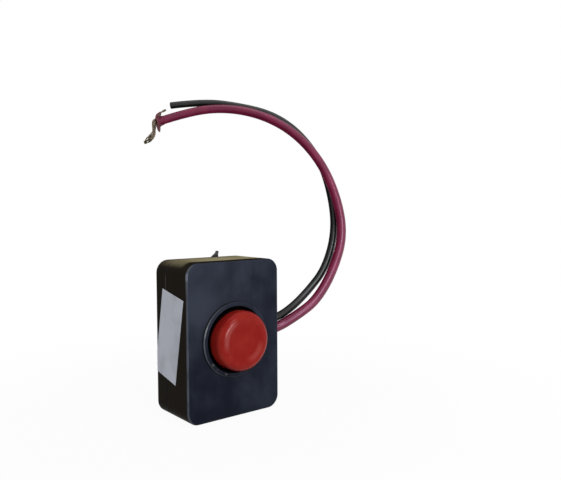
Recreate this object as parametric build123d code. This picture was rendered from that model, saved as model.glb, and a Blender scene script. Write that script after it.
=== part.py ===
from build123d import *
import os
from math import pi, radians, tan

# Momentary pushbutton switch in a small moulded box, with two flying leads.
# Millimetres. x runs to the right, y into the box from its front, z up.
# The origin is the centre of the bottom face: the box stands on z = 0 and its front faces -y.

# Box, in two mouldings that meet at a seam; its depth follows from the mechanism inside
BOX_WIDTH = 35.0
BOX_HEIGHT = 50.0
CASE_DEPTH = 13.0
WALL = 2.0
FRONT_WALL = 2.0
BACK_WALL = 2.0
CORNER_RADIUS = 4.1
FRONT_EDGE_RADIUS = 0.7
BACK_EDGE_RADIUS = 0.4
SEAM_CHAMFER = 0.2
LIP_HEIGHT = 1.5
LIP_THICKNESS = 0.9
LIP_CLEARANCE = 0.1

# Screws that hold the cover, in the four corners
COVER_SCREW_RADIUS = 1.1
COVER_SCREW_HEAD_RADIUS = 2.0
COVER_SCREW_LENGTH = 10.0
COVER_SCREW_INSET = 2.2
BOSS_RADIUS = 2.6
THREAD_CLEARANCE = 0.03
SHANK_CLEARANCE = 0.1
SINK_CLEARANCE = 0.05
PILOT_ROOM = 1.0
RECESS_SPAN = 2.4
RECESS_WIDTH = 0.5
RECESS_DEPTH = 0.7

# Torn moulding nib on the cover's top edge
NIB_X = 5.3
NIB_FROM_BACK = 1.0
NIB_HEIGHT = 2.1
NIB_HEAD_RADIUS = 0.5
NIB_NECK = 0.6
NIB_WEB = 2.4
NIB_THICKNESS = 0.7

# Collar and red push cap
CAP_RADIUS = 9.5
CAP_GAP = 1.2
CAP_PROUD = 6.0
CAP_EDGE_RADIUS = 2.3
CAP_WALL = 1.6
CAP_ROOF = 1.8
CAP_SKIRT_INSIDE = 1.0
CAP_FLANGE_WIDTH = 0.4
CAP_FLANGE_GAP = 0.3
DISH_RIM = 0.2
DISH_DEPTH = 0.7
DISH_EDGE_RADIUS = 1.2
COLLAR_WIDTH = 1.4
COLLAR_HEIGHT = 0.8
COLLAR_EDGE_RADIUS = 0.4

# Plunger, clip and spring
TRAVEL = 2.5
HEAD_RADIUS = 2.5
HEAD_LENGTH = 5.5
HEAD_CLEARANCE = 0.03
SOCKET_WALL = 1.7
SHOULDER_RIM = 1.5
SHOULDER_LENGTH = 1.2
STEM_RADIUS = 2.2
STEM_CLEARANCE = 0.08
STEM_TIP = 1.0
STEM_CHAMFER = 0.4
STEM_ROOM = 1.75
CLIP_RIM = 1.7
CLIP_THICKNESS = 0.6
CLIP_GAP = 0.05
GROOVE_DEPTH = 0.5
CLIP_MOUTH = 2.6
SPRING_CLEARANCE = 0.95
SPRING_WIRE = 0.5
SPRING_TURNS = 3.5
SPRING_SEAT = 0.02

# Contacts, terminals and the board that carries them
STRIP_THICKNESS = 0.8
BRIDGE_WIDTH = 7.0
BRIDGE_OVERHANG = 2.5
CONTACT_OFFSET = 8.5
CONTACT_RADIUS = 2.0
CONTACT_HEIGHT = 0.8
RIVET_RADIUS = 1.0
RIVET_CLEARANCE = 0.05
PEEN_RADIUS = 1.5
PEEN_HEIGHT = 0.4
BOARD_SIDE_ROOM = 3.0
BOARD_END_ROOM = 0.2
BOARD_THICKNESS = 1.6
BOARD_CORNER = 4.0
ARM_WIDTH = 3.4
PAD_RADIUS = 2.5
TAG_WIDTH = 3.4
TAG_EDGE = 0.1
TAG_SPACING = 1.0
BASE_SCREW_RADIUS = 0.95
BASE_SCREW_HEAD_RADIUS = 1.8
BASE_SCREW_HEAD = 1.2
BASE_SCREW_LENGTH = 5.5
PILLAR_RADIUS = 2.3
PILLAR_GAP = 0.6

# Leads, grommet and solder
RED_DIAMETER = 3.5
BLACK_DIAMETER = 2.8
RED_CONDUCTOR = 1.9
BLACK_CONDUCTOR = 1.5
LEAD_SPACING = 0.5
LEAD_LIFT = 1.1
LEADS_ABOVE_MIDDLE = 0.85
LEAD_INNER_GAP = 0.6
GROMMET_WALL = 1.45
GROMMET_FLANGE = 1.0
GROMMET_RIM = 1.2
GROMMET_EDGE_RADIUS = 0.4
GROMMET_FIT = 0.05
LEAD_CLEARANCE = 0.1
SOLDER_RADIUS = 1.3
SOLDER_MARGIN = 0.4
SOLDER_ROUND = 0.7
ARC_SHARE = 0.45

# Free run of each lead, as steps from the point where it leaves the right wall
RED_RUN = [
    (4.0, 0.0, 0.0),
    (13.0, -3.0, 4.5),
    (20.5, -4.5, 9.5),
    (28.9, -4.0, 19.0),
    (35.7, -2.8, 32.1),
    (37.8, 2.5, 46.0),
    (36.5, 10.0, 60.5),
    (32.5, 20.5, 72.5),
    (25.5, 32.0, 80.5),
    (16.0, 44.5, 84.4),
    (5.0, 56.0, 83.3),
    (-5.0, 65.5, 79.3),
]
BLACK_RUN = [
    (4.0, 0.0, 0.0),
    (12.5, 0.5, 3.0),
    (20.5, 0.5, 8.4),
    (28.6, -0.5, 16.5),
    (35.8, 1.8, 29.9),
    (39.0, 7.0, 43.5),
    (39.0, 14.5, 57.0),
    (36.0, 23.0, 70.0),
    (30.0, 33.0, 78.0),
    (21.0, 43.5, 81.8),
    (11.0, 55.0, 84.6),
    (0.5, 64.5, 82.8),
]

# Bare strands at the red lead's far end: a straight start, then steps from that end
# The spread is how far apart the strands stand at each point of their run
STRAND_START = 1.6
STRAND_RUN = [(-1.2, 0.9, -2.4), (-0.9, 0.8, -4.4), (-2.1, 1.7, -7.0), (-4.0, 3.2, -8.6)]
STRAND_SPREAD = [1.0, 1.0, 1.3, 1.0, 1.6, 1.3]
STRAND_DIAMETER = 0.5
STRAND_PITCH = 0.6
STRANDS_ROUND_CENTRE = 6

# Paper label on the left side
LABEL_WIDTH = 13.3
LABEL_HEIGHT = 27.6
LABEL_THICKNESS = 0.12
LABEL_TILT = 11.5
LABEL_FROM_FRONT = 11.1
LABEL_ABOVE_MIDDLE = 1.4

# Depth of the box, which leaves room behind the stem when the button is pressed right in
STEM_DEPTH = (
    FRONT_WALL + CAP_SKIRT_INSIDE + SHOULDER_LENGTH + 2 * (STRIP_THICKNESS + CONTACT_HEIGHT)
    + TRAVEL + BOARD_THICKNESS + CLIP_GAP + CLIP_THICKNESS + STEM_TIP
)
BOX_DEPTH = STEM_DEPTH + TRAVEL + STEM_ROOM + BACK_WALL

# Places that follow from the sizes
MID_Z = BOX_HEIGHT / 2
FRONT_Y = -BOX_DEPTH / 2
BACK_Y = BOX_DEPTH / 2
SEAM_Y = FRONT_Y + CASE_DEPTH
INNER_FRONT_Y = FRONT_Y + FRONT_WALL
INNER_BACK_Y = BACK_Y - BACK_WALL
RIGHT_X = BOX_WIDTH / 2
INNER_RIGHT_X = RIGHT_X - WALL
COVER_SCREW_X = INNER_RIGHT_X - COVER_SCREW_INSET
COVER_SCREW_Z = MID_Z - WALL - COVER_SCREW_INSET
CAP_HOLE_RADIUS = CAP_RADIUS + CAP_GAP
CAP_FLANGE_RADIUS = CAP_HOLE_RADIUS + CAP_FLANGE_WIDTH
STEM_HOLE_RADIUS = STEM_RADIUS + STEM_CLEARANCE
RIVET_HOLE_RADIUS = RIVET_RADIUS + RIVET_CLEARANCE
BASE_SCREW_Z = max(CONTACT_OFFSET + BRIDGE_OVERHANG, CAP_FLANGE_RADIUS) + PILLAR_GAP + PILLAR_RADIUS
BOARD_WIDTH = BOX_WIDTH - 2 * (WALL + BOARD_SIDE_ROOM)
BOARD_HEIGHT = 2 * (COVER_SCREW_Z - BOSS_RADIUS - BOARD_END_ROOM)

# Stack of the mechanism, from the front to the back
CAP_FACE_Y = FRONT_Y - CAP_PROUD
SKIRT_END_Y = INNER_FRONT_Y + CAP_SKIRT_INSIDE
BRIDGE_Y = SKIRT_END_Y + SHOULDER_LENGTH
BRIDGE_BACK_Y = BRIDGE_Y + STRIP_THICKNESS
FIXED_CONTACT_Y = BRIDGE_BACK_Y + CONTACT_HEIGHT + TRAVEL
TERMINAL_Y = FIXED_CONTACT_Y + CONTACT_HEIGHT
BOARD_Y = TERMINAL_Y + STRIP_THICKNESS
BOARD_BACK_Y = BOARD_Y + BOARD_THICKNESS
CLIP_Y = BOARD_BACK_Y + CLIP_GAP
STEM_END_Y = CLIP_Y + CLIP_THICKNESS + STEM_TIP

# Leads, grommet and terminals
LEAD_Y = TERMINAL_Y - LEAD_LIFT
LEAD_PITCH = (RED_DIAMETER + BLACK_DIAMETER) / 2 + LEAD_SPACING
GROMMET_RADIUS = RED_DIAMETER / 2 + GROMMET_WALL
FLANGE_RADIUS = GROMMET_RADIUS + GROMMET_FLANGE
LEADS_Z = MID_Z + LEADS_ABOVE_MIDDLE
RED_Z = LEADS_Z - LEAD_PITCH / 2
BLACK_Z = LEADS_Z + LEAD_PITCH / 2
TAG_X = BOARD_WIDTH / 2 - TAG_EDGE - TAG_WIDTH
LEAD_START_X = BOARD_WIDTH / 2 - TAG_EDGE + LEAD_INNER_GAP


def into_box(sketch, y, depth):
    """Front-view sketch, centred on the button's axis, extruded from y towards the back."""
    plane = Plane(origin=(0, y, MID_Z), x_dir=(1, 0, 0), z_dir=(0, -1, 0))
    return extrude(plane * sketch, amount=-depth)


def through_wall(sketch, x, length):
    """Sketch seen from the right, centred between the leads, extruded from x outwards."""
    plane = Plane(origin=(x, LEAD_Y, LEADS_Z), x_dir=(0, 1, 0), z_dir=(1, 0, 0))
    return extrude(plane * sketch, amount=length)


def turned(points, x=0.0, z=MID_Z):
    """Solid turned about an axis along y, from an outline of radius and y."""
    return Pos(x, 0, z) * revolve(Polygon(*points), axis=Axis.Y)


def corners(x, z):
    """The four places at x and z either side of the button's axis."""
    return [(sx * x, sz * z) for sx in (-1, 1) for sz in (-1, 1)]


def box_form(grow=0.0):
    """The whole outer form of the box, grown by a skin's thickness where one is given."""
    outline = RectangleRounded(BOX_WIDTH + 2 * grow, BOX_HEIGHT + 2 * grow, CORNER_RADIUS + grow)
    form = into_box(outline, FRONT_Y - grow, BOX_DEPTH + 2 * grow)
    form = fillet(form.faces().sort_by(Axis.Y)[0].edges(), FRONT_EDGE_RADIUS + grow)
    return fillet(form.faces().sort_by(Axis.Y)[-1].edges(), BACK_EDGE_RADIUS + grow)


def cavity(inset, y, depth):
    """The inside of the walls, less an inset."""
    width = BOX_WIDTH - 2 * (WALL + inset)
    height = BOX_HEIGHT - 2 * (WALL + inset)
    return into_box(RectangleRounded(width, height, CORNER_RADIUS - WALL), y, depth)


def seam_half(keep):
    """One half of the box's form, with a fine chamfer along the seam."""
    half = split(box_form(), bisect_by=Plane.XZ.offset(-SEAM_Y), keep=keep)
    ends = half.faces().filter_by(Axis.Y)
    seam = ends.filter_by_position(Axis.Y, SEAM_Y - SEAM_CHAMFER, SEAM_Y + SEAM_CHAMFER)
    return chamfer(seam.edges(), SEAM_CHAMFER)


def slot(radius):
    """Slot round both leads, as a sketch seen from the right."""
    return SlotCenterToCenter(LEAD_PITCH, 2 * radius, rotation=90)


def housing():
    """Front case: a tray with a collar, screw bosses, pillars for the board and a slot for the grommet."""
    case = seam_half(Keep.TOP)
    front_depth = COLLAR_HEIGHT + FRONT_WALL
    collar = into_box(Circle(CAP_HOLE_RADIUS + COLLAR_WIDTH), FRONT_Y - COLLAR_HEIGHT, front_depth)
    collar = fillet(collar.edges().group_by(Axis.Y)[0], COLLAR_EDGE_RADIUS)
    case = case + collar - cavity(0, INNER_FRONT_Y, CASE_DEPTH)

    pilot_depth = COVER_SCREW_LENGTH - (BACK_Y - SEAM_Y) + PILOT_ROOM
    for x, z in corners(COVER_SCREW_X, COVER_SCREW_Z):
        place = Pos(x, z)
        case += into_box(place * Circle(BOSS_RADIUS), INNER_FRONT_Y, SEAM_Y - INNER_FRONT_Y)
        pilot = place * Circle(COVER_SCREW_RADIUS + THREAD_CLEARANCE)
        case -= into_box(pilot, SEAM_Y - pilot_depth, pilot_depth)

    base_pilot = BASE_SCREW_LENGTH - BOARD_THICKNESS + PILOT_ROOM
    for side in (-1, 1):
        place = Pos(0, side * BASE_SCREW_Z)
        case += into_box(place * Circle(PILLAR_RADIUS), INNER_FRONT_Y, BOARD_Y - INNER_FRONT_Y)
        pilot = place * Circle(BASE_SCREW_RADIUS + THREAD_CLEARANCE)
        case -= into_box(pilot, BOARD_Y - base_pilot, base_pilot)

    case -= into_box(Circle(CAP_HOLE_RADIUS), FRONT_Y - COLLAR_HEIGHT, front_depth)
    return case - through_wall(slot(GROMMET_RADIUS + GROMMET_FIT), INNER_RIGHT_X, WALL)


def back_cover():
    """Back of the box: a shallow tray with a lip that goes inside the case, screw posts and the nib."""
    lip_inset = LIP_CLEARANCE + LIP_THICKNESS
    cover = seam_half(Keep.BOTTOM) - cavity(0, SEAM_Y, INNER_BACK_Y - SEAM_Y)
    lip = cavity(LIP_CLEARANCE, SEAM_Y - LIP_HEIGHT, LIP_HEIGHT) + cavity(0, SEAM_Y, LIP_HEIGHT)
    lip -= cavity(lip_inset, SEAM_Y - LIP_HEIGHT, 2 * LIP_HEIGHT)
    for x, z in corners(COVER_SCREW_X, COVER_SCREW_Z):
        lip -= into_box(Pos(x, z) * Circle(BOSS_RADIUS + LIP_CLEARANCE), SEAM_Y - LIP_HEIGHT, LIP_HEIGHT)
    room = GROMMET_RIM + LIP_CLEARANCE
    cover += lip - through_wall(slot(FLANGE_RADIUS + LIP_CLEARANCE), INNER_RIGHT_X - room, room)

    hole_radius = COVER_SCREW_RADIUS + SHANK_CLEARANCE
    sink_radius = COVER_SCREW_HEAD_RADIUS + SINK_CLEARANCE
    for x, z in corners(COVER_SCREW_X, COVER_SCREW_Z):
        cover += into_box(Pos(x, z) * Circle(BOSS_RADIUS), SEAM_Y, INNER_BACK_Y - SEAM_Y)
        cover -= into_box(Pos(x, z) * Circle(hole_radius), SEAM_Y, BACK_Y - SEAM_Y)
        sink = [(0, BACK_Y), (sink_radius, BACK_Y), (0, BACK_Y - sink_radius)]
        cover -= turned(sink, x, MID_Z + z)
    return cover + nib()


def nib():
    """Torn gate left by the mould: a blunt head on a thin neck, with a web that runs down to one side."""
    head_z = NIB_HEIGHT - NIB_HEAD_RADIUS
    web = Polygon(
        (-NIB_WEB, -WALL / 2),
        (NIB_NECK / 2, -WALL / 2),
        (NIB_NECK / 2, head_z),
        (-NIB_NECK / 2, head_z),
        (-NIB_WEB, 0),
    )
    outline = web + Pos(0, head_z) * Circle(NIB_HEAD_RADIUS)
    middle_y = BACK_Y - NIB_FROM_BACK
    return into_box(Pos(NIB_X, MID_Z) * outline, middle_y - NIB_THICKNESS / 2, NIB_THICKNESS)


def cross_recess(x, z, head_y):
    """Cross cut in the head of a screw at x and z from the button's axis."""
    bar = Rectangle(RECESS_WIDTH, RECESS_SPAN)
    cross = bar + Rot(0, 0, 90) * bar
    return into_box(Pos(x, z) * cross, head_y - RECESS_DEPTH, RECESS_DEPTH)


def cover_screws():
    """Four countersunk screws, flush with the back."""
    tip_y = BACK_Y - COVER_SCREW_LENGTH
    outline = [
        (0, BACK_Y),
        (COVER_SCREW_HEAD_RADIUS, BACK_Y),
        (COVER_SCREW_RADIUS, BACK_Y - COVER_SCREW_HEAD_RADIUS + COVER_SCREW_RADIUS),
        (COVER_SCREW_RADIUS, tip_y + COVER_SCREW_RADIUS),
        (0, tip_y),
    ]
    screws = []
    for x, z in corners(COVER_SCREW_X, COVER_SCREW_Z):
        screws.append(turned(outline, x, MID_Z + z) - cross_recess(x, z, BACK_Y))
    return Compound(children=screws)


def base_screws():
    """Two flat-headed screws that hold the board on the pillars."""
    head_y = BOARD_BACK_Y + BASE_SCREW_HEAD
    tip_y = BOARD_BACK_Y - BASE_SCREW_LENGTH
    outline = [
        (0, head_y),
        (BASE_SCREW_HEAD_RADIUS, head_y),
        (BASE_SCREW_HEAD_RADIUS, BOARD_BACK_Y),
        (BASE_SCREW_RADIUS, BOARD_BACK_Y),
        (BASE_SCREW_RADIUS, tip_y + BASE_SCREW_RADIUS),
        (0, tip_y),
    ]
    screws = []
    for z in (-BASE_SCREW_Z, BASE_SCREW_Z):
        screws.append(turned(outline, 0, MID_Z + z) - cross_recess(0, z, head_y))
    return Compound(children=screws)


def button_cap():
    """Red cap: a hollow shell with a dish, a plunger socket and a flange behind the front wall."""
    inner_radius = CAP_RADIUS - CAP_WALL
    flange_y = INNER_FRONT_Y + CAP_FLANGE_GAP
    roof_y = CAP_FACE_Y + CAP_ROOF
    socket_radius = HEAD_RADIUS + HEAD_CLEARANCE
    boss_radius = socket_radius + SOCKET_WALL
    floor_y = SKIRT_END_Y - HEAD_LENGTH - HEAD_CLEARANCE
    outline = [
        (0, CAP_FACE_Y),
        (CAP_RADIUS, CAP_FACE_Y),
        (CAP_RADIUS, flange_y),
        (CAP_FLANGE_RADIUS, flange_y),
        (CAP_FLANGE_RADIUS, SKIRT_END_Y),
        (inner_radius, SKIRT_END_Y),
        (inner_radius, roof_y),
        (boss_radius, roof_y),
        (boss_radius, SKIRT_END_Y),
        (socket_radius, SKIRT_END_Y),
        (socket_radius, floor_y),
        (0, floor_y),
    ]
    cap = turned(outline)
    cap = fillet(cap.edges().group_by(Axis.Y)[0], CAP_EDGE_RADIUS)
    dish_radius = CAP_RADIUS - CAP_EDGE_RADIUS - DISH_RIM
    ball_radius = (dish_radius**2 + DISH_DEPTH**2) / (2 * DISH_DEPTH)
    cap -= Pos(0, CAP_FACE_Y + DISH_DEPTH - ball_radius, MID_Z) * Sphere(ball_radius)
    rings = cap.edges().filter_by(GeomType.CIRCLE).group_by(Axis.Y)[0]
    return fillet(rings.sort_by(SortBy.RADIUS)[0], DISH_EDGE_RADIUS)


def plunger():
    """Turned stem: a head in the cap's socket, a shoulder behind the cap and a groove for the clip."""
    head_y = SKIRT_END_Y - HEAD_LENGTH
    shoulder_radius = HEAD_RADIUS + SHOULDER_RIM
    groove_radius = STEM_RADIUS - GROOVE_DEPTH
    groove_end_y = CLIP_Y + CLIP_THICKNESS
    outline = [
        (0, head_y),
        (HEAD_RADIUS, head_y),
        (HEAD_RADIUS, SKIRT_END_Y),
        (shoulder_radius, SKIRT_END_Y),
        (shoulder_radius, BRIDGE_Y),
        (STEM_RADIUS, BRIDGE_Y),
        (STEM_RADIUS, CLIP_Y),
        (groove_radius, CLIP_Y),
        (groove_radius, groove_end_y),
        (STEM_RADIUS, groove_end_y),
        (STEM_RADIUS, STEM_END_Y - STEM_CHAMFER),
        (STEM_RADIUS - STEM_CHAMFER, STEM_END_Y),
        (0, STEM_END_Y),
    ]
    return turned(outline)


def retaining_clip():
    """Open ring that snaps into the stem's groove and bears on the back of the board."""
    outer_radius = STEM_RADIUS + CLIP_RIM
    ring = Circle(outer_radius) - Circle(STEM_RADIUS - GROOVE_DEPTH)
    mouth = Pos(0, -outer_radius / 2) * Rectangle(CLIP_MOUTH, outer_radius)
    return into_box(ring - mouth, CLIP_Y, CLIP_THICKNESS)


def return_spring():
    """Coil round the stem, between the bridge and the board."""
    wire = SPRING_WIRE / 2
    seat = wire + SPRING_SEAT
    radius = STEM_RADIUS + SPRING_CLEARANCE + wire
    height = BOARD_Y - BRIDGE_BACK_Y - 2 * seat
    start = (0, BRIDGE_BACK_Y + seat, MID_Z)
    coil = Helix(height / SPRING_TURNS, height, radius, center=start, direction=(0, 1, 0))
    section = Plane(origin=coil @ 0, z_dir=coil % 0) * Circle(wire)
    return sweep(section, path=coil, is_frenet=True)


def contact_bridge():
    """Strip across the stem, with a rivet hole at each end."""
    length = 2 * (CONTACT_OFFSET + BRIDGE_OVERHANG)
    bar = RectangleRounded(BRIDGE_WIDTH, length, BRIDGE_OVERHANG) - Circle(STEM_HOLE_RADIUS)
    for side in (-1, 1):
        bar -= Pos(0, side * CONTACT_OFFSET) * Circle(RIVET_HOLE_RADIUS)
    return into_box(bar, BRIDGE_Y, STRIP_THICKNESS)


def rivets(face_y, step, grip):
    """Two contact rivets, from the face at face_y to the peened end, which lies along step (1 or -1)."""
    seat_y = face_y + step * CONTACT_HEIGHT
    peen_y = seat_y + step * grip
    end_y = peen_y + step * PEEN_HEIGHT
    outline = [
        (0, face_y),
        (CONTACT_RADIUS, face_y),
        (CONTACT_RADIUS, seat_y),
        (RIVET_RADIUS, seat_y),
        (RIVET_RADIUS, peen_y),
        (PEEN_RADIUS, peen_y),
        (RIVET_RADIUS, end_y),
        (0, end_y),
    ]
    return Compound(children=[turned(outline, 0, MID_Z + side * CONTACT_OFFSET) for side in (-1, 1)])


def bridge_contacts():
    return rivets(BRIDGE_BACK_Y + CONTACT_HEIGHT, -1, STRIP_THICKNESS)


def fixed_contacts():
    return rivets(FIXED_CONTACT_Y, 1, STRIP_THICKNESS + BOARD_THICKNESS)


def contact_base():
    """Insulating board that guides the stem and fits between the corner bosses."""
    board = RectangleRounded(BOARD_WIDTH, BOARD_HEIGHT, BOARD_CORNER) - Circle(STEM_HOLE_RADIUS)
    for side in (-1, 1):
        board -= Pos(0, side * CONTACT_OFFSET) * Circle(RIVET_HOLE_RADIUS)
        board -= Pos(0, side * BASE_SCREW_Z) * Circle(BASE_SCREW_RADIUS + SHANK_CLEARANCE)
    return into_box(board, BOARD_Y, BOARD_THICKNESS)


def terminal(side):
    """Flat strip from a contact across the board to its lead, above the axis (1) or below it (-1)."""
    pad = Pos(0, CONTACT_OFFSET) * Circle(PAD_RADIUS)
    end_x = TAG_X + TAG_WIDTH
    arm = Pos(end_x / 2, CONTACT_OFFSET) * Rectangle(end_x, ARM_WIDTH)
    tag_height = CONTACT_OFFSET - TAG_SPACING / 2 - side * LEADS_ABOVE_MIDDLE
    tag = Pos(TAG_X + TAG_WIDTH / 2, CONTACT_OFFSET - tag_height / 2) * Rectangle(TAG_WIDTH, tag_height)
    strip = pad + arm + tag - Pos(0, CONTACT_OFFSET) * Circle(RIVET_HOLE_RADIUS)
    if side < 0:
        strip = mirror(strip, about=Plane.XZ)
    return into_box(strip, TERMINAL_Y, STRIP_THICKNESS)


def solder_joint(z, conductor):
    """Tinned end of a lead in a mound of solder that lies on its terminal."""
    mound_x = TAG_X + SOLDER_MARGIN
    mound_length = TAG_WIDTH - 2 * SOLDER_MARGIN
    across = Pos(0, z - LEADS_Z)
    mound = through_wall(across * Circle(SOLDER_RADIUS), mound_x, mound_length)
    mound = fillet(mound.edges().filter_by(GeomType.CIRCLE), SOLDER_ROUND)
    stub_x = mound_x + mound_length / 2
    mound += through_wall(across * Circle(conductor / 2), stub_x, LEAD_START_X - stub_x)
    return split(mound, bisect_by=Plane.XZ.offset(-TERMINAL_Y), keep=Keep.TOP)


def solder_joints():
    joints = [solder_joint(BLACK_Z, BLACK_CONDUCTOR), solder_joint(RED_Z, RED_CONDUCTOR)]
    return Compound(children=joints)


def lead_grommet():
    """Rubber grommet: a waist in the wall's slot between two flanges, with a hole for each lead."""
    flange = slot(FLANGE_RADIUS)
    outer = through_wall(flange, RIGHT_X, GROMMET_RIM)
    outer = fillet(outer.edges().group_by(Axis.X)[-1], GROMMET_EDGE_RADIUS)
    inner = through_wall(flange, INNER_RIGHT_X - GROMMET_RIM, GROMMET_RIM)
    grommet = outer + through_wall(slot(GROMMET_RADIUS), INNER_RIGHT_X, WALL) + inner
    for z, diameter in ((RED_Z, RED_DIAMETER), (BLACK_Z, BLACK_DIAMETER)):
        hole = Pos(0, z - LEADS_Z) * Circle(diameter / 2 + LEAD_CLEARANCE)
        grommet -= through_wall(hole, INNER_RIGHT_X - GROMMET_RIM, WALL + 2 * GROMMET_RIM)
    return grommet


def arc_radii(points):
    """Radius at each inner point of a path, as large as its two runs allow."""
    radii = []
    for before, here, after in zip(points, points[1:], points[2:]):
        turn = radians((here - before).get_angle(after - here))
        shorter = min((here - before).length, (after - here).length)
        radii.append(ARC_SHARE * shorter / tan(turn / 2))
    return radii


def tube(points, diameter):
    """Round tube along straight runs joined by tangent arcs, with the path that it follows."""
    path = FilletPolyline(*points, radius=arc_radii(points))
    section = Plane(origin=path @ 0, z_dir=path % 0) * Circle(diameter / 2)
    return sweep(section, path=path), path


def lead_points(z, run):
    """The route of a lead: from its soldered end through the wall, then along its free run."""
    leaves = Vector(RIGHT_X, LEAD_Y, z)
    return [Vector(LEAD_START_X, LEAD_Y, z)] + [leaves + Vector(*step) for step in run]


def lead(name, z, run, diameter):
    points = lead_points(z, run)
    body, path = tube(points, diameter)
    expected = pi * diameter**2 / 4 * path.length
    print(name, "radii", [round(radius, 1) for radius in arc_radii(points)])
    print(name, "length", round(path.length, 1))
    print(name, "volume over section times length", round(body.volume / expected, 4))
    return body


def red_lead_strands():
    """Bare strands, packed round a centre one, that fan out as they bend down from the lead's end."""
    before, end = lead_points(RED_Z, RED_RUN)[-2:]
    outward = (end - before).normalized()
    centre = [end, end + outward * STRAND_START] + [end + Vector(*step) for step in STRAND_RUN]
    level = outward.cross(Vector(0, 0, 1)).normalized()
    packing = [Vector(0, 0, 0)]
    packing += [Vector(STRAND_PITCH, 0, 0).rotate(Axis.Z, 360 / STRANDS_ROUND_CENTRE * k)
                for k in range(STRANDS_ROUND_CENTRE)]
    strands = []
    for place in packing:
        points = []
        for k, (point, spread) in enumerate(zip(centre, STRAND_SPREAD)):
            along = centre[min(k + 1, len(centre) - 1)] - centre[max(k - 1, 0)]
            normal = level.cross(along).normalized()
            points.append(point + (level * place.X + normal * place.Y) * spread)
        strands.append(tube(points, STRAND_DIAMETER)[0])
    return Compound(children=strands)


def paper_label():
    """Sticker on the left wall, whose lower corner turns round the back edge and ends at the flat back."""
    skin = box_form(LABEL_THICKNESS) - box_form()
    middle = (-RIGHT_X - LABEL_THICKNESS, FRONT_Y + LABEL_FROM_FRONT, MID_Z + LABEL_ABOVE_MIDDLE)
    plane = Plane(origin=middle, x_dir=(0, 1, 0), z_dir=(1, 0, 0))
    sheet = plane * Rectangle(LABEL_WIDTH, LABEL_HEIGHT, rotation=LABEL_TILT)
    return skin & extrude(sheet, amount=LABEL_THICKNESS + BACK_EDGE_RADIUS)


PARTS = {
    "housing": housing(),
    "back_cover": back_cover(),
    "cover_screws": cover_screws(),
    "button_cap": button_cap(),
    "plunger": plunger(),
    "retaining_clip": retaining_clip(),
    "return_spring": return_spring(),
    "contact_bridge": contact_bridge(),
    "bridge_contacts": bridge_contacts(),
    "fixed_contacts": fixed_contacts(),
    "contact_base": contact_base(),
    "base_screws": base_screws(),
    "upper_terminal": terminal(1),
    "lower_terminal": terminal(-1),
    "solder_joints": solder_joints(),
    "lead_grommet": lead_grommet(),
    "red_lead": lead("red_lead", RED_Z, RED_RUN, RED_DIAMETER),
    "black_lead": lead("black_lead", BLACK_Z, BLACK_RUN, BLACK_DIAMETER),
    "red_lead_strands": red_lead_strands(),
    "paper_label": paper_label(),
}

os.makedirs("parts", exist_ok=True)
for node, shape in PARTS.items():
    export_step(shape, f"parts/{node}.step")
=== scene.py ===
from math import cos, pi, radians, sin
from random import Random

import bmesh
import bpy
from bpy.props import FloatProperty, FloatVectorProperty, IntProperty, PointerProperty
from mathutils import Matrix, Vector, noise


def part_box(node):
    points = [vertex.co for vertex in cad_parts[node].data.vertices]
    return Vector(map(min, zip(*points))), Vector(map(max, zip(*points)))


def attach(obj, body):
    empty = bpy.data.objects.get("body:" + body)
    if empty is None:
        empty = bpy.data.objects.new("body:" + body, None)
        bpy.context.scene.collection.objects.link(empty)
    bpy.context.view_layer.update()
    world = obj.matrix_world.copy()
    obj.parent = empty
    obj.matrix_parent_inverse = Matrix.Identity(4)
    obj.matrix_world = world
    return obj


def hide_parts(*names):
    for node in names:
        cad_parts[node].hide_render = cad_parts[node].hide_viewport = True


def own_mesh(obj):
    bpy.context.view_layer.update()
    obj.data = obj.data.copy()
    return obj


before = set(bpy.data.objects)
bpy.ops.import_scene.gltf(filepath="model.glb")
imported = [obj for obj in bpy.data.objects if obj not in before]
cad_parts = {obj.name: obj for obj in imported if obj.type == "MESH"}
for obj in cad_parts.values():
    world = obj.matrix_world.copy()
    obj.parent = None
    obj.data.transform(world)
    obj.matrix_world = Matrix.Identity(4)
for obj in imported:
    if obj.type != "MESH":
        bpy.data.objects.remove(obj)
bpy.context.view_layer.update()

bl_info = {
    "name": "Pushbutton Switch",
    "version": (1, 0, 0),
    "blender": (4, 5, 0),
    "location": "View3D > Sidebar > Switch",
    "description": "Finishes, leads and studio for a small boxed pushbutton switch",
    "category": "Add Mesh",
}

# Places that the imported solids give, in metres
HOUSING_LOW, HOUSING_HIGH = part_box("housing")
CAP_LOW, CAP_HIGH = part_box("button_cap")
GROMMET_LOW, GROMMET_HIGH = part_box("lead_grommet")
SPRING_LOW, SPRING_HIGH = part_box("return_spring")
BUTTON_X = (CAP_LOW.x + CAP_HIGH.x) / 2
BUTTON_Z = (CAP_LOW.z + CAP_HIGH.z) / 2
WALL_X = HOUSING_HIGH.x
BACK_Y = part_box("back_cover")[1].y
FRONT_Y = -BACK_Y
LEAD_Y = (GROMMET_LOW.y + GROMMET_HIGH.y) / 2
SEAM_Y = HOUSING_HIGH.y
STRANDS_END_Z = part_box("red_lead_strands")[0].z

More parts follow.
